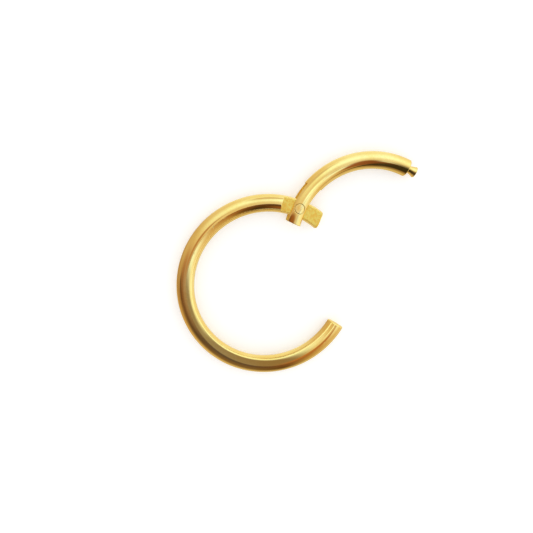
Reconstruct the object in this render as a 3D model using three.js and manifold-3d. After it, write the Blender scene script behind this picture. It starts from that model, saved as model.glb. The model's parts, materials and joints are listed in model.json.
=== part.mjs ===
// A hinged clicker ring: a round-wire hoop whose one arc swings open in the plane of the ring.
// Millimetres. The ring lies flat: its plane is XY and +Z is its axis.
// Bearings are degrees clockwise from +Y, seen from +Z, about the centre of the hoop.

import * as THREE from 'three';
import { mergeVertices } from 'three/addons/utils/BufferGeometryUtils.js';
import Module from 'manifold-3d';

// The wire and the ring it is bent into.
const wireDiameter = 1.2;
const innerDiameter = 10;
const wireSides = 24;
const ringSteps = 96;

// Where the arc is divided.
const pivotBearing = 21;
const freeEndBearing = 119.9;
const segmentEndBearing = 112;
const openAngle = 86.6;

// The hinge: a flat tang on the hoop, between two ears of the segment.
const tangThickness = 0.67;
const tangReach = 1.67;
const tangCornerRadius = 1.78;
const slotWidth = 0.72;
const slotReach = 1.75;
const earLength = 1.06;
const earCornerRadius = 1.19;
const shoulderRadius = 1.24;
const pinRadius = 0.33;
const pinSeatGap = 0.012;
const pinRunningGap = 0.03;

// The latch: a flared stud that stops against a dimple in the hoop's free end.
const studLength = 0.68;
const studNeckRadius = 0.25;
const studTipRadius = 0.375;
const studDomeHeight = 0.05;
const studShankRadius = 0.18;
const studShankLength = 0.5;
const studSeatGap = 0.015;
const dimpleRadius = 0.2;
const dimpleDepth = 0.08;

// Sizes that follow from these.
const wireRadius = wireDiameter / 2;
const ringRadius = (innerDiameter + wireDiameter) / 2;
const roundSides = 32;
const clear = 3;

const wasm = await Module();
wasm.setup();

// Shapes in the plane of the ring.

function ringPoint(radius, bearing) {
  const angle = THREE.MathUtils.degToRad(bearing);
  return new THREE.Vector2(radius * Math.sin(angle), radius * Math.cos(angle));
}

const pivot = ringPoint(ringRadius, pivotBearing);

// A point given from the pivot: along the wire away from the shoulder, and outward from the centre.
function hingePoint(along, outward) {
  return new THREE.Vector2(along, outward)
    .rotateAround(new THREE.Vector2(), THREE.MathUtils.degToRad(-pivotBearing))
    .add(pivot);
}

// Geometry to solids and back.

function solidOf(geometry) {
  geometry.deleteAttribute('normal');
  geometry.deleteAttribute('uv');
  const merged = mergeVertices(geometry, 1e-5);
  return new wasm.Manifold(new wasm.Mesh({
    numProp: 3,
    vertProperties: Float32Array.from(merged.attributes.position.array),
    triVerts: Uint32Array.from(merged.index.array),
  }));
}

function geometryOf(solid) {
  const mesh = solid.getMesh();
  const geometry = new THREE.BufferGeometry();
  geometry.setAttribute('position', new THREE.BufferAttribute(mesh.vertProperties, mesh.numProp));
  geometry.setIndex(new THREE.BufferAttribute(mesh.triVerts, 1));
  geometry.computeVertexNormals();
  return geometry;
}

// The whole wire ring, with a narrow flat below it to lie on.
function wireRing() {
  const sideAngle = 2 * Math.PI / wireSides;
  const cornerRadius = wireRadius / Math.cos(sideAngle / 2);
  const profile = [];
  for (let side = 0; side <= wireSides; side += 1) {
    const angle = sideAngle * ((side % wireSides) + 0.5);
    const x = ringRadius + cornerRadius * Math.cos(angle);
    profile.push(new THREE.Vector2(x, cornerRadius * Math.sin(angle)));
  }
  return solidOf(new THREE.LatheGeometry(profile, ringSteps).rotateX(Math.PI / 2));
}

// A prism over an outline, between two heights.
function prism(points, bottom, top) {
  const outline = new THREE.Shape(points);
  const geometry = new THREE.ExtrudeGeometry(outline, { depth: top - bottom, bevelEnabled: false });
  return solidOf(geometry.translate(0, 0, bottom));
}

// A square block at the hinge, as wide as the wire and more.
function hingeBlock(from, to, bottom, top) {
  return prism([
    hingePoint(from, -clear / 2),
    hingePoint(to, -clear / 2),
    hingePoint(to, clear / 2),
    hingePoint(from, clear / 2),
  ], bottom, top);
}

function hingeDisc(radius, bottom, top) {
  const geometry = new THREE.CylinderGeometry(radius, radius, top - bottom, roundSides);
  geometry.rotateX(Math.PI / 2).translate(pivot.x, pivot.y, (bottom + top) / 2);
  return solidOf(geometry);
}

// A round hole takes its size across the flats, so that a round pin inside it stays clear.
function hingeBore(radius) {
  return hingeDisc(radius / Math.cos(Math.PI / roundSides), -clear, clear);
}

// What a turning end must lose: a block on one side of the pivot, outside a radius about it.
function hingeCorners(from, to, radius) {
  const block = hingeBlock(from, to, -clear, clear);
  return block.subtract(hingeDisc(radius, -2 * clear, 2 * clear));
}

// The stretch of the ring from a square cut near the hinge to a radial cut further round.
function stretch(cutAlong, endBearing) {
  const reach = ringRadius + 2 * clear;
  return prism([
    hingePoint(cutAlong, -clear),
    hingePoint(cutAlong, clear),
    ringPoint(reach, (pivotBearing + endBearing) / 2 - 10),
    ringPoint(reach, (pivotBearing + endBearing) / 2 + 20),
    ringPoint(reach, endBearing),
    new THREE.Vector2(0, 0),
  ], -clear, clear);
}

// Turns a shape made about +Y, standing on the origin, so that it stands on a cut of the wire.
function standOnCut(geometry, bearing, direction) {
  const place = ringPoint(ringRadius, bearing);
  const turn = THREE.MathUtils.degToRad(-bearing - 90 * direction);
  return geometry.rotateZ(turn).translate(place.x, place.y, 0);
}

// The pieces, all in the ring's own frame with the ring closed.

function hoopSolid() {
  const openArc = stretch(tangReach, freeEndBearing);
  let hoop = wireRing().subtract(openArc);
  const half = tangThickness / 2;
  for (const [bottom, top] of [[half, clear], [-clear, -half]]) {
    hoop = hoop.subtract(hingeDisc(shoulderRadius, bottom, top));
    hoop = hoop.subtract(hingeBlock(0, clear, bottom, top));
  }
  const dimple = new THREE.SphereGeometry(dimpleRadius, 24, 16);
  dimple.translate(0, dimpleRadius - dimpleDepth, 0);
  return hoop
    .subtract(hingeCorners(0, clear, tangCornerRadius))
    .subtract(hingeBore(pinRadius + pinRunningGap))
    .subtract(solidOf(standOnCut(dimple, freeEndBearing, -1)));
}

function segmentSolid() {
  const arc = wireRing().intersect(stretch(-earLength, segmentEndBearing));
  const slot = hingeBlock(-clear, slotReach, -slotWidth / 2, slotWidth / 2);
  const shankRadius = studShankRadius + pinSeatGap;
  const shankDepth = studShankLength + studSeatGap;
  const shankHole = new THREE.CylinderGeometry(shankRadius, shankRadius, 2 * shankDepth, roundSides);
  return arc
    .subtract(hingeCorners(-clear, 0, earCornerRadius))
    .subtract(slot)
    .subtract(hingeBore(pinRadius + pinSeatGap))
    .subtract(solidOf(standOnCut(shankHole, segmentEndBearing, 1)));
}

// The pin's ends are dressed down to the round of the wire.
function pinSolid() {
  return hingeDisc(pinRadius, -clear, clear).intersect(wireRing());
}

function studSolid() {
  const flare = (studTipRadius - studNeckRadius) / studLength;
  const rimHeight = studLength - studDomeHeight;
  const profile = [
    new THREE.Vector2(0, -studShankLength),
    new THREE.Vector2(studShankRadius, -studShankLength),
    new THREE.Vector2(studShankRadius, studSeatGap),
    new THREE.Vector2(studNeckRadius, studSeatGap),
    new THREE.Vector2(studNeckRadius + flare * rimHeight, rimHeight),
    new THREE.Vector2(studTipRadius * 0.6, studLength - studDomeHeight * 0.3),
    new THREE.Vector2(0, studLength),
  ];
  const geometry = new THREE.LatheGeometry(profile, roundSides);
  return solidOf(standOnCut(geometry, segmentEndBearing, 1));
}

// Materials and the scene.

function gold(color, roughness) {
  return new THREE.MeshStandardMaterial({ color, roughness, metalness: 1 });
}

function piece(name, solid, material) {
  const mesh = new THREE.Mesh(geometryOf(solid), material);
  mesh.name = name;
  return mesh;
}

const ring = new THREE.Group();
ring.add(piece('hoop', hoopSolid(), gold('#e3b55a', 0.14)));

// The swinging arc turns about the pivot, and is shown open.
const swing = new THREE.Group();
swing.position.set(pivot.x, pivot.y, 0);
swing.rotation.z = THREE.MathUtils.degToRad(openAngle);
const closedArc = new THREE.Group();
closedArc.position.set(-pivot.x, -pivot.y, 0);
closedArc.add(piece('segment', segmentSolid(), gold('#e3b55a', 0.14)));
closedArc.add(piece('hinge_pin', pinSolid(), gold('#d9a94c', 0.22)));
closedArc.add(piece('latch_stud', studSolid(), gold('#d9a94c', 0.18)));
swing.add(closedArc);
ring.add(swing);

// The origin is under the middle of the whole open ring, on the surface it lies on.
const group = new THREE.Group();
group.add(ring);
group.updateMatrixWorld(true);
const box = new THREE.Box3().setFromObject(ring, true);
ring.position.set(-(box.min.x + box.max.x) / 2, -(box.min.y + box.max.y) / 2, -box.min.z);
group.updateMatrixWorld(true);

export default group;
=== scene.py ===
import json
import math
import bpy
import numpy as np
from mathutils import Matrix, Vector


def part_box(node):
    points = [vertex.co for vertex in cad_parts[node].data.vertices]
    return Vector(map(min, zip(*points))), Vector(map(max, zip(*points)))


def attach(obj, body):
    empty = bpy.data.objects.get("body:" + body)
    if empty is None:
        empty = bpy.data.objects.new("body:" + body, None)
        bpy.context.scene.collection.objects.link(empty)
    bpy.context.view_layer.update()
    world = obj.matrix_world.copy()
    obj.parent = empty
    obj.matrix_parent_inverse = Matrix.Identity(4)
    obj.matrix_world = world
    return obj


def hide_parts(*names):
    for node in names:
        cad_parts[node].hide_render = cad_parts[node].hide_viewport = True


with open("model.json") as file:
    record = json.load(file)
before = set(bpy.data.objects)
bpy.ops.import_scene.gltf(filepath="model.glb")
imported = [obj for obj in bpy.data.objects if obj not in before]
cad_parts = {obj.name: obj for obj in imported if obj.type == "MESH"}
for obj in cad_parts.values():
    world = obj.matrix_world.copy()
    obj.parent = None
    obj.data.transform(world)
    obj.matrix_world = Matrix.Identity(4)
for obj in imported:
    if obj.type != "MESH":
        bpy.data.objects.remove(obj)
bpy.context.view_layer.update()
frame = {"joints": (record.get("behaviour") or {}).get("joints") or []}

mm = 0.001


# Where the frame puts the ring. All that follows is in millimetres about the hoop's centre.

hoopLow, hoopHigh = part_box("hoop")
hingeJoint = frame["joints"][0]
wireRadius = (hoopHigh.z - hoopLow.z) / 2 / mm
outerRadius = (hoopHigh.y - hoopLow.y) / 2 / mm
ringRadius = outerRadius - wireRadius
ringCentre = Vector((hoopLow.x + outerRadius * mm, (hoopLow.y + hoopHigh.y) / 2, wireRadius * mm))
pivot = (Vector(hingeJoint["pos_m"]) - ringCentre) / mm


def bearingVector(degrees):
    angle = math.radians(degrees)
    return np.array([math.sin(angle), math.cos(angle), 0.0])


def tangentVector(degrees):
    angle = math.radians(degrees)
    return np.array([math.cos(angle), -math.sin(angle), 0.0])


pivotBearing = math.degrees(math.atan2(pivot.x, pivot.y))
pivotPoint = np.array([pivot.x, pivot.y, 0.0])
print("frame read: wire", round(2 * wireRadius, 3), "mm, ring radius", round(ringRadius, 3), "mm")


# Camera: close above the ring, from its upper left.

cameraSetup = {
    "distance": 46.0,        # mm from the ring's centre
    "tilt": 13.9,            # degrees off straight above
    "bearing": 321.8,        # the side that it leans to
    "pictureWidth": 36.5,    # mm of the ring's plane across the picture
    "shiftX": -0.0023,       # of the picture's width
    "shiftY": 0.0346,
}


def addCamera(values):
    camera = bpy.data.cameras.new("cameraAbove")
    cameraObject = bpy.data.objects.new("cameraAbove", camera)
    bpy.context.scene.collection.objects.link(cameraObject)
    back = Vector(bearingVector(values["bearing"])) * math.sin(math.radians(values["tilt"]))
    back.z = math.cos(math.radians(values["tilt"]))
    cameraObject.rotation_mode = "QUATERNION"
    cameraObject.rotation_quaternion = Vector((0, 0, 1)).rotation_difference(back)
    cameraObject.location = ringCentre + back * values["distance"] * mm
    camera.sensor_width = 36
    camera.lens = camera.sensor_width * values["distance"] / values["pictureWidth"]
    camera.shift_x = values["shiftX"]
    camera.shift_y = values["shiftY"]
    camera.clip_start = 0.001
    camera.clip_end = 2
    bpy.context.scene.camera = cameraObject


addCamera(cameraSetup)
print("camera set")


# Meshing: each piece is a rounded solid given by distances, and is wrapped in a fine mesh.

def roundMax(a, b, radius):  # both must hold, with the edge between them rounded over
    inside = np.minimum(np.maximum(a, b), -radius)
    return inside + np.hypot(np.maximum(a + radius, 0), np.maximum(b + radius, 0))


def roundMin(a, b, radius):  # either may hold, with a fillet in the corner between them
    return -roundMax(-a, -b, radius)


def spaced(stops):  # each stretch is (from, to, step), and starts where the one before it ends
    places = []
    for start, end, step in stops:
        count = max(2, int(math.ceil((end - start) / step)) + 1)
        places.append(np.linspace(start, end, count)[:-1])
    places.append(np.array([stops[-1][1]]))
    return np.concatenate(places)


def crossings(values, places, axis):  # where the surface cuts the grid's edges along one axis
    low = [slice(None)] * 3
    high = [slice(None)] * 3
    low[axis] = slice(None, -1)
    high[axis] = slice(1, None)
    a, b = values[tuple(low)], values[tuple(high)]
    crosses = (a < 0) != (b < 0)
    share = np.where(crosses, a / np.where(crosses, a - b, 1), 0)[..., None]
    return crosses, a < 0, places[tuple(low)] * (1 - share) + places[tuple(high)] * share


# A grid is laid through the solid: each cell that the surface passes through gets one point, and
# each grid edge that it cuts gets a quad between the four cells round it.
def wrap(shape, us, vs, ws, place):
    places = np.stack(place(*np.meshgrid(us, vs, ws, indexing="ij")), -1)
    values = shape(places)
    cells = tuple(n - 1 for n in values.shape)
    total = np.zeros(cells + (3,))
    count = np.zeros(cells)
    edges = []
    for axis in range(3):
        crosses, inside, middles = crossings(values, places, axis)
        edges.append((crosses, inside))
        across = [i for i in range(3) if i != axis]
        for first in (0, 1):
            for second in (0, 1):
                part = [slice(None)] * 3
                part[across[0]] = slice(first, crosses.shape[across[0]] - 1 + first)
                part[across[1]] = slice(second, crosses.shape[across[1]] - 1 + second)
                here = crosses[tuple(part)]
                total += np.where(here[..., None], middles[tuple(part)], 0)
                count += here
    used = count > 0
    index = np.full(cells, -1)
    index[used] = np.arange(used.sum())
    points = total[used] / count[used][:, None]
    faces = []
    for axis in range(3):
        crosses, inside = edges[axis]
        one, other = [(1, 2), (2, 0), (0, 1)][axis]
        inner = [slice(None)] * 3
        inner[one] = slice(1, -1)
        inner[other] = slice(1, -1)
        spots = np.argwhere(crosses[tuple(inner)])
        spots[:, one] += 1
        spots[:, other] += 1
        ring = []
        for oneStep, otherStep in ((-1, -1), (0, -1), (0, 0), (-1, 0)):
            corner = spots.copy()
            corner[:, one] += oneStep
            corner[:, other] += otherStep
            ring.append(index[tuple(corner.T)])
        quads = np.stack(ring, 1)
        outward = inside[tuple(spots.T)]
        faces.append(np.where(outward[:, None], quads, quads[:, ::-1]))
    return points, np.concatenate(faces)


def evenly(reach, step):
    return np.linspace(-reach, reach, int(2 * reach / step) + 1)


def slope(shape, points, step=1e-4):  # which way the distance grows at each point
    columns = []
    for axis in range(3):
        move = np.zeros(3)
        move[axis] = step
        columns.append((shape(points + move) - shape(points - move)) / (2 * step))
    return np.stack(columns, 1)


# Brings the points exactly onto the rounded surface.
def settle(shape, points, rounds=4, leastLean=0.2):
    for _ in range(rounds):
        lean = slope(shape, points)
        steepness = np.maximum((lean ** 2).sum(1), leastLean)
        points = points - (shape(points) / steepness)[:, None] * lean
    return points


def makePiece(name, shape, marks, lay, us, vs, ws, place, turn=None):
    points, faces = wrap(shape, us, vs, ws, place)
    points = settle(shape, points)
    normals = slope(shape, points)
    normals /= np.maximum(np.linalg.norm(normals, axis=1), 1e-9)[:, None]
    edge, ground = marks(points)
    layPlace = lay(points)
    if turn is not None:
        points = points @ turn[0].T + turn[1]
        normals = normals @ turn[0].T
    points = points * mm + np.array(ringCentre)
    mesh = bpy.data.meshes.new(name)
    mesh.vertices.add(len(points))
    mesh.vertices.foreach_set("co", points.ravel())
    mesh.loops.add(faces.size)
    mesh.loops.foreach_set("vertex_index", faces.ravel())
    mesh.polygons.add(len(faces))
    mesh.polygons.foreach_set("loop_start", np.arange(0, faces.size, 4))
    mesh.update(calc_edges=True)
    mesh.validate()
    mesh.polygons.foreach_set("use_smooth", np.ones(len(mesh.polygons), bool))
    for title, field in (("edgeNear", edge), ("groundFace", ground)):
        layer = mesh.attributes.new(title, "FLOAT", "POINT")
        layer.data.foreach_set("value", field.astype(np.float32))
    layer = mesh.attributes.new("layPlace", "FLOAT_VECTOR", "POINT")
    layer.data.foreach_set("vector", layPlace.astype(np.float32).ravel())
    mesh.normals_split_custom_set_from_vertices(normals)
    made = bpy.data.objects.new(name, mesh)
    bpy.context.scene.collection.objects.link(made)
    print("made", name, "with", len(points), "points and", len(faces), "faces")
    return made


# How near each point is to an edge, and 1 if it lies on any face but the first.
def marksOf(faces, edgeWidth):
    def marks(points):
        fields = np.stack(faces(points), 0)
        edge = np.clip(1 + np.sort(fields, 0)[-2] / edgeWidth, 0, 1)
        ground = (fields.argmax(0) != 0).astype(float)
        return edge, ground
    return marks


# The wire and the hinge, as distances in millimetres from the ring's centre.

hingeSizes = {
    "reach": 2.5,            # the hinge's cuts end this far from the pivot
    "tangThickness": 0.67,
    "tangReach": 1.67,
    "tangCornerRadius": 1.78,
    "slotWidth": 0.72,
    "slotReach": 1.75,
    "earLength": 1.06,
    "earCornerRadius": 1.19,
    "shoulderRadius": 1.24,
    "pinRadius": 0.33,
    "pinSeatGap": 0.012,
    "pinRunningGap": 0.03,
    "openAngle": 86.6,       # the arc is shaped closed, and then turned open by this
}


def wire(points):
    offset = np.hypot(points[..., 0], points[..., 1]) - ringRadius
    return np.hypot(offset, points[..., 2]) - wireRadius


def alongHinge(points):
    return points @ tangentVector(pivotBearing)


def fromPivot(points):
    return np.hypot(points[..., 0] - pivotPoint[0], points[..., 1] - pivotPoint[1])


def alongCut(points, bearing):
    return points @ tangentVector(bearing)


def ringPlace(bearing, offset, height):
    angle = np.radians(bearing)
    reach = ringRadius + offset
    return reach * np.sin(angle), reach * np.cos(angle), height


def layOnWire(points):  # mm along and around the wire, for the direction of the finish
    bearing = np.arctan2(points[..., 0], points[..., 1])
    offset = np.hypot(points[..., 0], points[..., 1]) - ringRadius
    around = np.arctan2(offset, points[..., 2])
    return np.stack([bearing * ringRadius, around * wireRadius, points[..., 2]], -1)


def acrossWire(step):
    return evenly(wireRadius + 1.5 * step, step)


openTurn = math.radians(hingeSizes["openAngle"])
turnMatrix = np.array(Matrix.Rotation(openTurn, 3, "Z"))
arcCentre = pivotPoint - turnMatrix @ pivotPoint      # of the circle that the open arc is part of
swungOpen = (turnMatrix, arcCentre)


# Hoop: the fixed wire with its tang, shoulder and dimpled free end.

hoopSizes = {
    "freeEnd": 119.9,        # bearing, degrees
    "dimpleRadius": 0.2,
    "dimpleDepth": 0.08,
    "edgeRound": 0.05,
    "edgeWidth": 0.05,       # how far in from an edge it is rubbed
    "endRound": 0.08,
    "footFillet": 0.03,
    "fineStep": 0.024,
    "plainStep": 1.3,        # degrees along the plain wire
    "endSpan": (3, 9),       # degrees from the free end: fine steps to, middling steps to
    "hingeSpan": (358, 366, 22),   # middling steps from, fine steps from, degrees past the pivot
}


def hoopFaces(points):
    hoop, hinge = hoopSizes, hingeSizes
    along = alongHinge(points)
    pivotDistance = fromPivot(points)
    hingeSide = np.minimum(along, hinge["reach"] - pivotDistance)
    fullWire = np.maximum(hinge["shoulderRadius"] - pivotDistance, hingeSide)
    tang = np.abs(points[..., 2]) - hinge["tangThickness"] / 2
    thin = roundMin(fullWire, tang, hoop["footFillet"])
    gap = np.minimum(along - hinge["tangReach"], -alongCut(points, hoop["freeEnd"]))
    bore = hinge["pinRadius"] + hinge["pinRunningGap"] - pivotDistance
    corner = np.minimum(pivotDistance - hinge["tangCornerRadius"], hingeSide)
    dimpleLift = hoop["dimpleRadius"] - hoop["dimpleDepth"]
    dimpleCentre = ringRadius * bearingVector(hoop["freeEnd"])
    dimpleCentre = dimpleCentre - dimpleLift * tangentVector(hoop["freeEnd"])
    dimple = hoop["dimpleRadius"] - np.linalg.norm(points - dimpleCentre, axis=-1)
    return wire(points), thin, gap, bore, corner, dimple


def hoopShape(points):
    hoop = hoopSizes
    body, thin, gap, bore, corner, dimple = hoopFaces(points)
    body = roundMax(body, gap, hoop["endRound"])
    body = roundMax(body, thin, hoop["edgeRound"])
    body = roundMax(body, corner, hoop["edgeRound"])
    body = roundMax(body, bore, hoop["edgeRound"] / 2)
    return roundMax(body, dimple, hoop["edgeRound"] / 2)


def makeHoop():
    hoop = hoopSizes
    fine = math.degrees(hoop["fineStep"] / ringRadius)
    middling = 3 * fine
    end = hoop["freeEnd"]
    endFine, endMiddling = hoop["endSpan"]
    hingeMiddling, hingeFine, past = hoop["hingeSpan"]
    bearings = spaced([
        (end - 3 * fine, end + endFine, fine),
        (end + endFine, end + endMiddling, middling),
        (end + endMiddling, hingeMiddling, hoop["plainStep"]),
        (hingeMiddling, hingeFine, middling),
        (hingeFine, 360 + pivotBearing + past, fine),
    ])
    across = acrossWire(hoop["fineStep"])
    marks = marksOf(hoopFaces, hoop["edgeWidth"])
    return makePiece("hoopWire", hoopShape, marks, layOnWire,
                     bearings, across, across, ringPlace)


# Segment: the swinging arc with its two ears.

segmentSizes = {
    "end": 112.0,            # bearing when closed, degrees
    "studHoleRadius": 0.192,
    "studHoleDepth": 0.515,
    "edgeRound": 0.03,
    "edgeWidth": 0.05,
    "slotRound": 0.02,
    "endRound": 0.07,
    "fineStep": 0.024,
    "plainStep": 1.3,
    "hingeSpan": (-13, 21, 27),    # degrees past the pivot: fine steps from, to, middling steps to
    "endSpan": (12, 7),      # degrees before the end: middling steps from, fine steps from
}


def segmentEndPoint():
    return ringRadius * bearingVector(segmentSizes["end"])


def studAxis(points):
    offset = points - segmentEndPoint()
    along = offset @ tangentVector(segmentSizes["end"])
    return along, np.sqrt(np.maximum((offset ** 2).sum(-1) - along ** 2, 0))


def segmentFaces(points):
    arc, hinge = segmentSizes, hingeSizes
    along = alongHinge(points)
    pivotDistance = fromPivot(points)
    earEnd = -along - hinge["earLength"]
    end = alongCut(points, arc["end"])
    slot = np.minimum(hinge["slotReach"] - along, hinge["slotWidth"] / 2 - np.abs(points[..., 2]))
    earCorner = np.minimum(-along, pivotDistance - hinge["earCornerRadius"])
    bore = hinge["pinRadius"] + hinge["pinSeatGap"] - pivotDistance
    studAlong, studAcross = studAxis(points)
    studHole = np.minimum(arc["studHoleRadius"] - studAcross, studAlong + arc["studHoleDepth"])
    return wire(points), slot, earEnd, end, earCorner, bore, studHole


def segmentShape(points):
    arc = segmentSizes
    body, slot, earEnd, end, earCorner, bore, studHole = segmentFaces(points)
    body = roundMax(body, end, arc["endRound"])
    body = roundMax(body, earEnd, arc["edgeRound"])
    body = roundMax(body, earCorner, arc["edgeRound"])
    body = roundMax(body, slot, arc["slotRound"])
    body = roundMax(body, bore, arc["edgeRound"])
    return np.maximum(body, studHole)


def makeSegment():
    arc = segmentSizes
    fine = math.degrees(arc["fineStep"] / ringRadius)
    middling = 3 * fine
    start, hingeFine, hingeMiddling = (pivotBearing + degrees for degrees in arc["hingeSpan"])
    endMiddling, endFine = (arc["end"] - degrees for degrees in arc["endSpan"])
    bearings = spaced([
        (start, hingeFine, fine),
        (hingeFine, hingeMiddling, middling),
        (hingeMiddling, endMiddling, arc["plainStep"]),
        (endMiddling, endFine, middling),
        (endFine, arc["end"] + 3 * fine, fine),
    ])
    across = acrossWire(arc["fineStep"])
    marks = marksOf(segmentFaces, arc["edgeWidth"])
    return makePiece("segmentWire", segmentShape, marks, layOnWire,
                     bearings, across, across, ringPlace, swungOpen)


# Hinge pin: its ends are dressed down to the round of the wire.

pinSizes = {
    "edgeRound": 0.035,
    "edgeWidth": 0.04,
    "step": 0.016,
    "heightStep": 0.024,
}


def pinFaces(points):
    return wire(points), fromPivot(points) - hingeSizes["pinRadius"]


def pinShape(points):
    return roundMax(*pinFaces(points), pinSizes["edgeRound"])


def layOnPin(points):
    return points - pivotPoint


def makePin():
    pin = pinSizes
    side = evenly(hingeSizes["pinRadius"] + 2 * pin["step"], pin["step"])
    height = acrossWire(pin["heightStep"])

    def place(x, y, z):
        return x + pivotPoint[0], y + pivotPoint[1], z

    marks = marksOf(pinFaces, pin["edgeWidth"])
    return makePiece("hingePin", pinShape, marks, layOnPin,
                     side, side, height, place, swungOpen)


# Latch stud: a flared stud with a domed tip, on a shank in the segment's end.

studSizes = {
    "length": 0.68,
    "neckRadius": 0.25,
    "tipRadius": 0.375,
    "rimStart": 0.56,        # the flare is hollow up to here, then straight
    "domeHeight": 0.05,
    "shankRadius": 0.18,
    "shankLength": 0.5,
    "seatGap": 0.015,
    "edgeRound": 0.03,
    "edgeWidth": 0.05,
    "step": 0.016,
}


def studFaces(points):
    stud = studSizes
    along, across = studAxis(points)
    share = np.clip(along / stud["rimStart"], 0, 1)
    flare = stud["neckRadius"] + (stud["tipRadius"] - stud["neckRadius"]) * share ** 2
    lean = 2 * (stud["tipRadius"] - stud["neckRadius"]) * share / stud["rimStart"]
    cone = (across - flare) / np.hypot(1, lean)
    domeRadius = (stud["tipRadius"] ** 2 + stud["domeHeight"] ** 2) / (2 * stud["domeHeight"])
    dome = np.hypot(along - stud["length"] + domeRadius, across) - domeRadius
    return cone, dome, stud["seatGap"] - along


def studShape(points):
    stud = studSizes
    along, across = studAxis(points)
    cone, dome, seat = studFaces(points)
    flared = roundMax(roundMax(cone, dome, stud["edgeRound"]), seat, stud["edgeRound"] / 2)
    shank = roundMax(across - stud["shankRadius"], -along - stud["shankLength"], stud["edgeRound"])
    return np.minimum(flared, np.maximum(shank, along - stud["length"] / 2))


def layOnStud(points):
    along, across = studAxis(points)
    return np.stack([across, along, np.zeros(len(points))], -1)


def makeStud():
    stud = studSizes
    margin = 2 * stud["step"]
    side = evenly(stud["tipRadius"] + margin, stud["step"])
    lengths = np.arange(-stud["shankLength"] - margin, stud["length"] + margin, stud["step"])
    forward = tangentVector(segmentSizes["end"])
    outward = bearingVector(segmentSizes["end"])
    start = segmentEndPoint()

    def place(u, v, w):
        spot = start + u[..., None] * forward + v[..., None] * outward
        return spot[..., 0], spot[..., 1], spot[..., 2] + w

    marks = marksOf(studFaces, stud["edgeWidth"])
    return makePiece("latchStud", studShape, marks, layOnStud,
                     lengths, side, side, place, swungOpen)


hoopPiece = makeHoop()
segmentPiece = makeSegment()
pinPiece = makePin()
studPiece = makeStud()


# Finish: shared groups for the plating's tone, polishing lines, scratches, ground grain, rubbed
# edges and handling.

def newGroup(name, inputs, outputs):
    group = bpy.data.node_groups.new(name, "ShaderNodeTree")
    for title, kind, value in inputs:
        socket = group.interface.new_socket(title, in_out="INPUT", socket_type=kind)
        if value is not None:
            socket.default_value = value
    for title, kind in outputs:
        group.interface.new_socket(title, in_out="OUTPUT", socket_type=kind)
    given = group.nodes.new("NodeGroupInput").outputs
    return group, given, group.nodes.new("NodeGroupOutput").inputs


def feed(tree, source, socket):  # a socket is linked, a number or colour is set
    if isinstance(source, bpy.types.NodeSocket):
        tree.links.new(source, socket)
    else:
        socket.default_value = source


# Adds a node, sets it up and feeds its inputs, by name or, as _0 or _1, by number.
def put(tree, kind, settings=None, **sources):
    node = tree.nodes.new(kind)
    for title, value in (settings or {}).items():
        setattr(node, title, value)
    for title, source in sources.items():
        title = title.strip("_").replace("_", " ")
        feed(tree, source, node.inputs[int(title) if title.isdigit() else title])
    return node


def turnedAboutZ(tree, vector, angle):
    return put(tree, "ShaderNodeVectorRotate", {"rotation_type": "Z_AXIS"},
               Vector=vector, Angle=angle).outputs[0]


def scaled(tree, vector, factor):
    return put(tree, "ShaderNodeVectorMath", {"operation": "SCALE"},
               _0=vector, Scale=factor).outputs[0]


def spread(tree, value, low, high, toLow=0.0, toHigh=1.0):  # a soft step from low to high
    return put(tree, "ShaderNodeMapRange", {"interpolation_type": "SMOOTHSTEP"}, Value=value,
               From_Min=low, From_Max=high, To_Min=toLow, To_Max=toHigh).outputs[0]


def combine(tree, operation, a, b):
    node = tree.nodes.new("ShaderNodeMath")
    node.operation = operation
    feed(tree, a, node.inputs[0])
    feed(tree, b, node.inputs[1])
    return node.outputs[0]


def noiseOver(tree, place, scale, **settings):
    return put(tree, "ShaderNodeTexNoise", Vector=place, Scale=scale, **settings).outputs["Fac"]


def clamped(tree, value):
    return put(tree, "ShaderNodeClamp", Value=value).outputs[0]


def withShares(tree, total, *parts):  # the total, and a share of each part on top
    for part, share in parts:
        total = combine(tree, "ADD", total, combine(tree, "MULTIPLY", part, share))
    return total


def vectorMath(tree, operation, a, b=None, output="Vector"):
    node = put(tree, "ShaderNodeVectorMath", {"operation": operation}, _0=a)
    if b is not None:
        feed(tree, b, node.inputs[1])
    return node.outputs[output]


def blendColours(tree, share, a, b):
    node = tree.nodes.new("ShaderNodeMix")
    node.data_type = "RGBA"
    feed(tree, share, node.inputs["Factor"])
    feed(tree, a, node.inputs["A"])
    feed(tree, b, node.inputs["B"])
    return node.outputs["Result"]


# How each effect is cut out of noise, which stays near a half. Most are the noise where the effect
# starts and where it is full.
finishShape = {
    "slowShare": 0.7,                # of the slow drift in the tone, beside the fine mottling
    "tone": (0.36, 0.62),
    "groundMottle": (0.38, 0.62),
    "rubbed": (0.34, 0.62),
    "haze": (0.45, 0.75),
    "lineStart": (0.72, 0.2),        # and how much lower a full share of lines brings it
    "lineSharpness": 9,
    "lineRelief": 0.6,               # of a sharp line, beside the fine noise between them
    "scratchEnds": (0.2, 0.5),       # distances from a cell's middle over which a scratch fades
    "pits": (1.7, 0.6),              # how much finer than the grain, and how deep beside it
}


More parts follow.
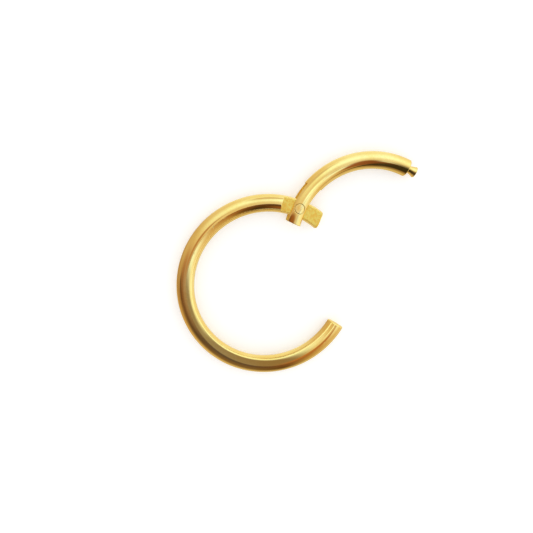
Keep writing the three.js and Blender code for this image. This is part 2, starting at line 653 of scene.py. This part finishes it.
def platingToneGroup():  # slow drifts in the colour of the plating, with a little fine mottling
    group, given, result = newGroup("platingTone", [
        ("Place", "NodeSocketVector", None),
        ("Deep", "NodeSocketColor", (0.8, 0.5, 0.1, 1)),
        ("Bright", "NodeSocketColor", (0.9, 0.6, 0.2, 1)),
        ("Drift", "NodeSocketFloat", 1.0),
        ("Mottle", "NodeSocketFloat", 9.0),
    ], [("Colour", "NodeSocketColor")])
    slow = noiseOver(group, given["Place"], given["Drift"], Detail=2, Roughness=0.5)
    fine = noiseOver(group, given["Place"], given["Mottle"], Detail=4, Roughness=0.6)
    slowPart = combine(group, "MULTIPLY", slow, finishShape["slowShare"])
    both = withShares(group, slowPart, (fine, 1 - finishShape["slowShare"]))
    share = spread(group, both, *finishShape["tone"])
    feed(group, blendColours(group, share, given["Deep"], given["Bright"]), result["Colour"])
    return group


def polishLinesGroup():  # lines left by polishing, long in the first direction of the lay
    group, given, result = newGroup("polishLines", [
        ("Lay", "NodeSocketVector", None),
        ("Length", "NodeSocketFloat", 0.35),
        ("Fineness", "NodeSocketFloat", 26.0),
        ("Turn", "NodeSocketFloat", 0.0),
        ("Share", "NodeSocketFloat", 0.5),
    ], [("Lines", "NodeSocketFloat"), ("Height", "NodeSocketFloat")])
    turned = turnedAboutZ(group, given["Lay"], given["Turn"])
    parts = put(group, "ShaderNodeSeparateXYZ", _0=turned)
    stretched = put(group, "ShaderNodeCombineXYZ",
                    X=combine(group, "MULTIPLY", parts.outputs["X"], given["Length"]),
                    Y=combine(group, "MULTIPLY", parts.outputs["Y"], given["Fineness"]),
                    Z=parts.outputs["Z"])
    noise = noiseOver(group, stretched.outputs[0], 1, Detail=5, Roughness=0.62)
    fewest, lower = finishShape["lineStart"]
    start = withShares(group, fewest, (given["Share"], -lower))
    over = combine(group, "SUBTRACT", noise, start)
    sharp = clamped(group, combine(group, "MULTIPLY", over, finishShape["lineSharpness"]))
    feed(group, sharp, result["Lines"])
    feed(group, withShares(group, noise, (sharp, -finishShape["lineRelief"])), result["Height"])
    return group


def strayScratchesGroup():  # short marks from wear, each cell with its own direction
    group, given, result = newGroup("strayScratches", [
        ("Place", "NodeSocketVector", None),
        ("Cells", "NodeSocketFloat", 1.6),
        ("Width", "NodeSocketFloat", 0.02),
    ], [("Marks", "NodeSocketFloat")])
    cells = put(group, "ShaderNodeTexVoronoi", Vector=given["Place"], Scale=given["Cells"])
    placeInCells = scaled(group, given["Place"], given["Cells"])
    cellMiddle = scaled(group, cells.outputs["Position"], given["Cells"])
    local = vectorMath(group, "SUBTRACT", placeInCells, cellMiddle)
    lean = vectorMath(group, "SUBTRACT", cells.outputs["Color"], (0.5, 0.5, 0.5))
    lean = vectorMath(group, "NORMALIZE", lean)
    off = combine(group, "ABSOLUTE", vectorMath(group, "DOT_PRODUCT", local, lean, "Value"), 0)
    near = combine(group, "SUBTRACT", 1, combine(group, "DIVIDE", off, given["Width"]))
    short = spread(group, cells.outputs["Distance"], *finishShape["scratchEnds"], 1, 0)
    feed(group, combine(group, "MULTIPLY", clamped(group, near), short), result["Marks"])
    return group


def groundGrainGroup():  # the even tooth of a face that was ground and tumbled
    group, given, result = newGroup("groundGrain", [
        ("Place", "NodeSocketVector", None),
        ("Grain", "NodeSocketFloat", 14.0),
    ], [("Height", "NodeSocketFloat"), ("Mottle", "NodeSocketFloat")])
    coarse = noiseOver(group, given["Place"], given["Grain"], Detail=3, Roughness=0.55)
    finer, depth = finishShape["pits"]
    pits = put(group, "ShaderNodeTexVoronoi", {"feature": "SMOOTH_F1"}, Vector=given["Place"],
               Scale=combine(group, "MULTIPLY", given["Grain"], finer), Smoothness=0.6)
    feed(group, withShares(group, coarse, (pits.outputs["Distance"], depth)), result["Height"])
    feed(group, spread(group, coarse, *finishShape["groundMottle"]), result["Mottle"])
    return group


def rubbedEdgesGroup():  # where touching has worn the edges paler and smoother, in broken patches
    group, given, result = newGroup("rubbedEdges", [
        ("Place", "NodeSocketVector", None),
        ("Edge", "NodeSocketFloat", 0.0),
        ("Patch", "NodeSocketFloat", 4.0),
        ("Reach", "NodeSocketFloat", 0.5),
    ], [("Wear", "NodeSocketFloat")])
    noise = noiseOver(group, given["Place"], given["Patch"], Detail=4, Roughness=0.6)
    broken = spread(group, noise, *finishShape["rubbed"])
    low = combine(group, "SUBTRACT", 1, given["Reach"])
    rise = combine(group, "DIVIDE", combine(group, "SUBTRACT", given["Edge"], low), given["Reach"])
    feed(group, combine(group, "MULTIPLY", clamped(group, rise), broken), result["Wear"])
    return group


def handlingGroup():  # faint smears of skin oil, which soften the polish
    group, given, result = newGroup("handling", [
        ("Place", "NodeSocketVector", None),
        ("Smear", "NodeSocketFloat", 1.1),
    ], [("Haze", "NodeSocketFloat")])
    noise = noiseOver(group, given["Place"], given["Smear"], Detail=3, Distortion=0.8)
    feed(group, spread(group, noise, *finishShape["haze"]), result["Haze"])
    return group


finishGroups = {
    "tone": platingToneGroup(),
    "lines": polishLinesGroup(),
    "scratches": strayScratchesGroup(),
    "grain": groundGrainGroup(),
    "edges": rubbedEdgesGroup(),
    "handling": handlingGroup(),
}


def useGroup(tree, name, values, **links):
    node = tree.nodes.new("ShaderNodeGroup")
    node.node_tree = finishGroups[name]
    for title, source in {**values, **links}.items():
        feed(tree, source, node.inputs[title])
    return node.outputs


def makeGold(name, values):
    material = bpy.data.materials.new(name)
    material.use_nodes = True
    tree = material.node_tree
    shader = tree.nodes["Principled BSDF"]
    place = scaled(tree, tree.nodes.new("ShaderNodeTexCoord").outputs["Object"], 1 / mm)
    lay = put(tree, "ShaderNodeAttribute", {"attribute_name": "layPlace"}).outputs["Vector"]
    edge = put(tree, "ShaderNodeAttribute", {"attribute_name": "edgeNear"}).outputs["Fac"]
    ground = put(tree, "ShaderNodeAttribute", {"attribute_name": "groundFace"}).outputs["Fac"]
    tone = useGroup(tree, "tone", values["tone"], Place=place)
    lines = useGroup(tree, "lines", values["lines"], Lay=lay)
    scratches = useGroup(tree, "scratches", values["scratches"], Place=place)
    grain = useGroup(tree, "grain", values["grain"], Place=place)
    wear = useGroup(tree, "edges", values["edges"], Place=place, Edge=edge)
    haze = useGroup(tree, "handling", values["handling"], Place=place)

    groundTone = blendColours(tree, grain["Mottle"], values["groundDeep"], values["groundBright"])
    colour = blendColours(tree, ground, tone["Colour"], groundTone)
    rubbed = combine(tree, "MULTIPLY", wear["Wear"], values["wearShare"])
    feed(tree, blendColours(tree, rubbed, colour, values["worn"]), shader.inputs["Base Color"])

    polished = withShares(tree, values["roughness"],
                          (haze["Haze"], values["hazeRoughness"]),
                          (lines["Lines"], values["lineRoughness"]),
                          (scratches["Marks"], values["scratchRoughness"]))
    rough = withShares(tree, values["groundRoughness"],
                       (grain["Mottle"], values["mottleRoughness"]),
                       (wear["Wear"], -values["wearSmoothing"]))
    mixed = put(tree, "ShaderNodeMix", Factor=ground, A=polished, B=rough)
    feed(tree, mixed.outputs["Result"], shader.inputs["Roughness"])
    metal = put(tree, "ShaderNodeMix", Factor=ground, A=1.0, B=values["groundMetal"])
    feed(tree, metal.outputs["Result"], shader.inputs["Metallic"])

    toothed = combine(tree, "MULTIPLY", grain["Height"], ground)
    lined = combine(tree, "MULTIPLY", lines["Height"], values["lineDepth"])
    height = withShares(tree, lined,
                        (scratches["Marks"], -values["scratchDepth"]),
                        (toothed, values["grainDepth"]))
    bump = put(tree, "ShaderNodeBump", Distance=mm, Strength=1, Height=height)
    feed(tree, bump.outputs["Normal"], shader.inputs["Normal"])
    return material


wireLook = {
    "tone": {"Deep": (0.91, 0.60, 0.165, 1), "Bright": (0.965, 0.70, 0.245, 1),
             "Drift": 0.35, "Mottle": 6},
    "lines": {"Length": 0.3, "Fineness": 22, "Turn": 0.0, "Share": 0.5},
    "scratches": {"Cells": 1.7, "Width": 0.02},
    "grain": {"Grain": 7},
    "edges": {"Patch": 5, "Reach": 0.6},
    "handling": {"Smear": 0.8},
    "groundDeep": (0.96, 0.59, 0.08, 1),
    "groundBright": (1.0, 0.775, 0.165, 1),
    "worn": (0.98, 0.80, 0.42, 1),
    "wearShare": 0.55,
    "roughness": 0.055,
    "hazeRoughness": 0.05,
    "lineRoughness": 0.06,
    "scratchRoughness": 0.12,
    "groundRoughness": 0.33,
    "mottleRoughness": 0.12,
    "wearSmoothing": 0.15,
    "groundMetal": 0.5,        # a ground face scatters light as well
    "lineDepth": 0.0006,       # mm
    "scratchDepth": 0.001,
    "grainDepth": 0.008,
}

pinLook = {**wireLook,
    "tone": {"Deep": (0.95, 0.66, 0.22, 1), "Bright": (1.0, 0.78, 0.33, 1),
             "Drift": 2.5, "Mottle": 14},
    "lines": {"Length": 3, "Fineness": 30, "Turn": 0.5, "Share": 0.8},
    "scratches": {"Cells": 5, "Width": 0.05},
    "roughness": 0.1,
    "lineDepth": 0.0012,
}

studLook = {**wireLook,
    "tone": {"Deep": (0.86, 0.55, 0.145, 1), "Bright": (0.95, 0.68, 0.23, 1),
             "Drift": 2, "Mottle": 12},
    "lines": {"Length": 0.4, "Fineness": 32, "Turn": 0.0, "Share": 0.8},   # rings left by turning
    "scratches": {"Cells": 4, "Width": 0.04},
    "roughness": 0.09,
    "groundRoughness": 0.16,
    "lineDepth": 0.002,
    "grainDepth": 0.003,
}

wireGold = makeGold("wireGold", wireLook)
pinGold = makeGold("pinGold", pinLook)
studGold = makeGold("studGold", studLook)
for piece in (hoopPiece, segmentPiece):
    piece.data.materials.append(wireGold)
pinPiece.data.materials.append(pinGold)
studPiece.data.materials.append(studGold)
print("finish made")


# Studio: a pale light table under white surroundings. The metal mirrors coloured panels that stand
# all the way round, and small cards and streaks that hang just over the ring.

studio = {
    "floorSize": 1.2,                            # metres
    "floorColour": (0.88, 0.88, 0.875, 1),
    "floorRoughness": 0.8,
    "floorGlow": 0.42,                           # the table is lit softly from below
    "plainLight": 1.05,                          # what falls on the table
    "backdrop": 1.3,                             # what the camera sees past the table
    "middle": (142, 76),                         # bearing and elevation that the panels are around
    "reach": (16, 56, 110),                      # degrees from there to the three colours
    # panels around the ring that only the metal sees: bearing, then the high, level and low colour
    "panels": [
        (0, (0.84, 0.84, 0.86), (1.11, 1.47, 1.83), (1.00, 1.10, 1.05)),
        (40, (0.90, 0.94, 0.98), (1.18, 1.55, 1.90), (1.03, 1.12, 1.12)),
        (70, (0.62, 0.60, 0.62), (1.08, 1.35, 1.58), (1.00, 1.00, 0.90)),
        (90, (0.84, 0.95, 1.15), (1.05, 1.25, 1.35), (0.98, 0.98, 0.92)),
        (108, (1.05, 1.38, 1.70), (1.03, 1.10, 1.10), (0.93, 0.93, 0.88)),
        (122, (1.00, 1.15, 1.30), (0.86, 0.77, 0.62), (0.85, 0.84, 0.74)),
        (134, (0.66, 0.48, 0.30), (0.70, 0.56, 0.37), (0.80, 0.78, 0.68)),
        (148, (0.42, 0.22, 0.10), (0.54, 0.38, 0.18), (0.77, 0.75, 0.62)),
        (163, (0.24, 0.11, 0.05), (0.13, 0.07, 0.03), (0.75, 0.70, 0.55)),
        (180, (0.15, 0.10, 0.10), (0.20, 0.14, 0.09), (0.77, 0.69, 0.50)),
        (205, (0.12, 0.10, 0.12), (0.22, 0.15, 0.10), (0.78, 0.67, 0.47)),
        (228, (0.14, 0.11, 0.13), (0.12, 0.09, 0.09), (0.65, 0.50, 0.32)),
        (252, (0.36, 0.27, 0.24), (0.20, 0.11, 0.08), (0.45, 0.31, 0.19)),
        (272, (0.44, 0.36, 0.35), (0.33, 0.18, 0.11), (0.56, 0.43, 0.28)),
        (286, (0.50, 0.43, 0.42), (0.52, 0.31, 0.19), (0.67, 0.55, 0.40)),
        (300, (0.70, 0.60, 0.50), (0.78, 0.68, 0.52), (0.70, 0.61, 0.46)),
        (318, (0.84, 0.77, 0.62), (0.98, 1.12, 1.12), (0.80, 0.72, 0.58)),
        (340, (0.82, 0.78, 0.70), (1.10, 1.46, 1.73), (0.92, 0.92, 0.83)),
    ],
    # small cards just over the ring, also for the metal only, in mm from the ring's centre:
    # height, middle, half widths, softness, colour at the west and the east end, and whether it
    # stops over the wire
    "cards": [
        (2.00, (-1.4, -6.6), (4.4, 4.5), 0.22, (0.34, 0.34, 0.38), (0.31, 0.24, 0.18), True),
        (2.05, (-6.7, -2.2), (3.4, 3.4), 0.30, (0.40, 0.34, 0.30), (0.34, 0.33, 0.35), True),
        (2.15, (7.0, 7.25), (1.25, 1.25), 0.35, (0.34, 0.14, 0.07), (0.22, 0.09, 0.05), False),
        (2.10, (9.65, 5.2), (2.2, 2.8), 0.25, (0.06, 0.045, 0.03), (0.02, 0.035, 0.02), False),
        (2.20, (0.1, 3.7), (1.4, 1.4), 0.40, (0.14, 0.07, 0.03), (0.08, 0.045, 0.02), False),
        (1.00, (0.35, 4.6), (1.3, 0.55), 0.35, (0.04, 0.03, 0.015), (0.36, 0.14, 0.05), False),
        (1.70, (0.2, -1.5), (1.8, 0.7), 0.30, (1.25, 1.60, 1.85), (1.25, 1.60, 1.85), False),
    ],
    # narrow cards bent to the wire: height, bearing and distance of the middle, half length in
    # degrees, half width, softness, colour, and whether it follows the open arc, not the hoop
    "streaks": [
        (1.90, 145, 5.95, 22, 0.33, 0.5, (0.50, 0.21, 0.07), False),
        (1.95, 126, 5.15, 9, 0.13, 0.5, (1.25, 1.60, 1.90), False),
        (1.85, 300, 5.95, 25, 0.27, 0.5, (0.52, 0.29, 0.15), False),
        (1.80, 264, 9.30, 11, 1.50, 0.3, (0.16, 0.09, 0.06), False),
        (1.75, 126, 2.90, 8, 0.30, 0.5, (1.25, 1.60, 1.90), False),
        (1.65, -48, 5.25, 13, 0.32, 0.6, (1.15, 1.50, 1.80), True),
        (1.60, -43, 9.20, 18, 1.70, 0.4, (0.74, 0.68, 0.62), True),
    ],
    "wireDisc": ((0.35, -0.45), 5.75, 0.03),     # middle, radius, softness of where a card stops
}
squareCorners = ((-1, -1), (1, -1), (1, 1), (-1, 1))


def panelRamp(tree, turn, panels, row, brightest):  # one row of colours all the way round
    ramp = tree.nodes.new("ShaderNodeValToRGB")
    stops = [(panel[0] / 360, panel[row]) for panel in panels]
    stops.append((1, panels[0][row]))
    elements = ramp.color_ramp.elements
    for place, colour in stops[1:-1]:
        elements.new(place)
    for element, (place, colour) in zip(elements, stops):
        element.position = place
        element.color = [part / brightest for part in colour] + [1]
    tree.links.new(turn, ramp.inputs["Fac"])
    return ramp.outputs["Color"]


def addPanels(tree, values):
    panels = values["panels"]
    brightest = max(max(colour) for panel in panels for colour in panel[1:])
    direction = tree.nodes.new("ShaderNodeTexCoord").outputs["Generated"]
    bearing, elevation = values["middle"]
    level = math.radians(elevation)
    middle = Vector(bearingVector(bearing)) * math.cos(level)
    middle.z = math.sin(level)
    up = Vector((0, 1, 0))                       # bearing 0 is on this side of the middle
    up = (up - middle * up.dot(middle)).normalized()
    east, north, towards = (vectorMath(tree, "DOT_PRODUCT", direction, tuple(axis), "Value")
                            for axis in (-up.cross(middle), -up, middle))
    turn = combine(tree, "ARCTAN2", east, north)
    turn = combine(tree, "ADD", combine(tree, "MULTIPLY", turn, 0.5 / math.pi), 0.5)
    away = put(tree, "ShaderNodeMath", {"operation": "ARCCOSINE"}, _0=towards).outputs[0]
    high, flat, low = (panelRamp(tree, turn, panels, row, brightest) for row in (1, 2, 3))
    first, second, third = (math.radians(reach) for reach in values["reach"])
    colour = blendColours(tree, spread(tree, away, first, second), high, flat)
    colour = blendColours(tree, spread(tree, away, second, third), colour, low)
    return put(tree, "ShaderNodeBackground", Strength=brightest, Color=colour)


# 0 inside a soft disc and 1 outside it, and the place in units of the disc.
def discShare(tree, spot, middle, halves, softness):
    place = vectorMath(tree, "SUBTRACT", spot, (*middle, 0))
    place = vectorMath(tree, "DIVIDE", place, (*halves, 1))
    reach = vectorMath(tree, "LENGTH", place, output="Value")
    return spread(tree, reach, 1 - softness, 1 + softness), place


def addCard(name, height, corners, paint, middle=(0, 0)):  # only the metal sees a card
    mesh = bpy.data.meshes.new(name)
    mesh.from_pydata([Vector((*corner, 0)) * mm for corner in corners], [], [range(len(corners))])
    card = bpy.data.objects.new(name, mesh)
    card.location = ringCentre + Vector((*middle, height)) * mm
    bpy.context.scene.collection.objects.link(card)
    card.visible_camera = card.visible_diffuse = False
    card.visible_shadow = card.visible_transmission = False
    material = bpy.data.materials.new(name)
    material.use_nodes = True
    tree = material.node_tree
    tree.nodes.remove(tree.nodes["Principled BSDF"])
    spot = scaled(tree, tree.nodes.new("ShaderNodeTexCoord").outputs["Object"], 1 / mm)
    clear, colour = paint(tree, spot)
    lit = put(tree, "ShaderNodeEmission", Strength=1, Color=colour)
    through = tree.nodes.new("ShaderNodeBsdfTransparent")
    mix = put(tree, "ShaderNodeMixShader", _0=clear, _1=lit.outputs[0], _2=through.outputs[0])
    tree.links.new(mix.outputs[0], tree.nodes["Material Output"].inputs["Surface"])
    mesh.materials.append(material)


def addCards(values):
    wireMiddle, wireReach, wireSoftness = values["wireDisc"]
    for number, card in enumerate(values["cards"], 1):
        height, middle, halves, softness, west, east, stops = card
        outer = [half * (1 + softness) for half in halves]
        corners = [(middle[0] + x * outer[0], middle[1] + y * outer[1]) for x, y in squareCorners]

        def paint(tree, spot):
            clear, place = discShare(tree, spot, middle, halves, softness)
            if stops:
                pastWire, _ = discShare(tree, spot, wireMiddle, [wireReach] * 2, wireSoftness)
                clear = combine(tree, "MAXIMUM", clear, pastWire)
            along = put(tree, "ShaderNodeSeparateXYZ", _0=place).outputs["X"]
            return clear, blendColours(tree, spread(tree, along, -1, 1), (*west, 1), (*east, 1))

        addCard("overCard%d" % number, height, corners, paint)


def addStreaks(values):
    for number, streak in enumerate(values["streaks"], 1):
        height, bearing, distance, reach, width, softness, colour, onArc = streak
        middle = arcCentre[:2] if onArc else (0, 0)
        wider = 1 + softness
        sides = (-1, -0.5, 0, 0.5, 1)
        ways = [bearingVector(bearing + side * reach * wider)[:2] for side in sides]
        corners = [way * (distance - width * wider) for way in ways]
        corners += [way * (distance + width * wider) for way in reversed(ways)]

        def paint(tree, spot):
            turned = turnedAboutZ(tree, spot, math.radians(bearing))
            parts = put(tree, "ShaderNodeSeparateXYZ", _0=turned)
            off = combine(tree, "ARCTAN2", parts.outputs["X"], parts.outputs["Y"])
            away = vectorMath(tree, "LENGTH", spot, output="Value")
            place = put(tree, "ShaderNodeCombineXYZ", X=off, Y=away).outputs[0]
            halves = (math.radians(reach), width)
            clear, _ = discShare(tree, place, (0, distance), halves, softness)
            return clear, (*colour, 1)

        addCard("wireStreak%d" % number, height, corners, paint, middle)


def addSurroundings(values):  # the table is lit plainly, the metal mirrors the panels
    world = bpy.data.worlds.new("studioLight")
    bpy.context.scene.world = world
    world.use_nodes = True
    tree = world.node_tree
    tree.nodes.clear()
    mirrored = addPanels(tree, values)
    plain = put(tree, "ShaderNodeBackground", Strength=values["plainLight"])
    seen = put(tree, "ShaderNodeBackground", Strength=values["backdrop"])
    path = tree.nodes.new("ShaderNodeLightPath")
    lit = put(tree, "ShaderNodeMixShader", _0=path.outputs["Is Glossy Ray"],
              _1=plain.outputs[0], _2=mirrored.outputs[0])
    whole = put(tree, "ShaderNodeMixShader", _0=path.outputs["Is Camera Ray"],
                _1=lit.outputs[0], _2=seen.outputs[0])
    put(tree, "ShaderNodeOutputWorld", Surface=whole.outputs[0])


def addLightTable(values):
    floorMesh = bpy.data.meshes.new("lightTable")
    half = values["floorSize"] / 2
    floorMesh.from_pydata([(x * half, y * half, 0) for x, y in squareCorners], [], [(0, 1, 2, 3)])
    floor = bpy.data.objects.new("lightTable", floorMesh)
    bpy.context.scene.collection.objects.link(floor)
    paper = bpy.data.materials.new("paleTable")
    paper.use_nodes = True
    shader = paper.node_tree.nodes["Principled BSDF"]
    shader.inputs["Base Color"].default_value = values["floorColour"]
    shader.inputs["Roughness"].default_value = values["floorRoughness"]
    shader.inputs["Specular IOR Level"].default_value = 0
    shader.inputs["Emission Color"].default_value = values["floorColour"]
    shader.inputs["Emission Strength"].default_value = values["floorGlow"]
    floor.data.materials.append(paper)
    floor.visible_glossy = False                 # the metal sees the low panels instead


addSurroundings(studio)
addLightTable(studio)
addCards(studio)
addStreaks(studio)
bpy.context.scene.view_settings.view_transform = "Standard"
print("studio set")


# Every piece rides on its body and stands for its node.

for piece, node, body, slotName in (
    (hoopPiece, "hoop", "hoop", "wire_gold"),
    (segmentPiece, "segment", "segment", "wire_gold"),
    (pinPiece, "hinge_pin", "segment", "pin_gold"),
    (studPiece, "latch_stud", "segment", "stud_gold"),
):
    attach(piece, body)
    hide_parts(node)
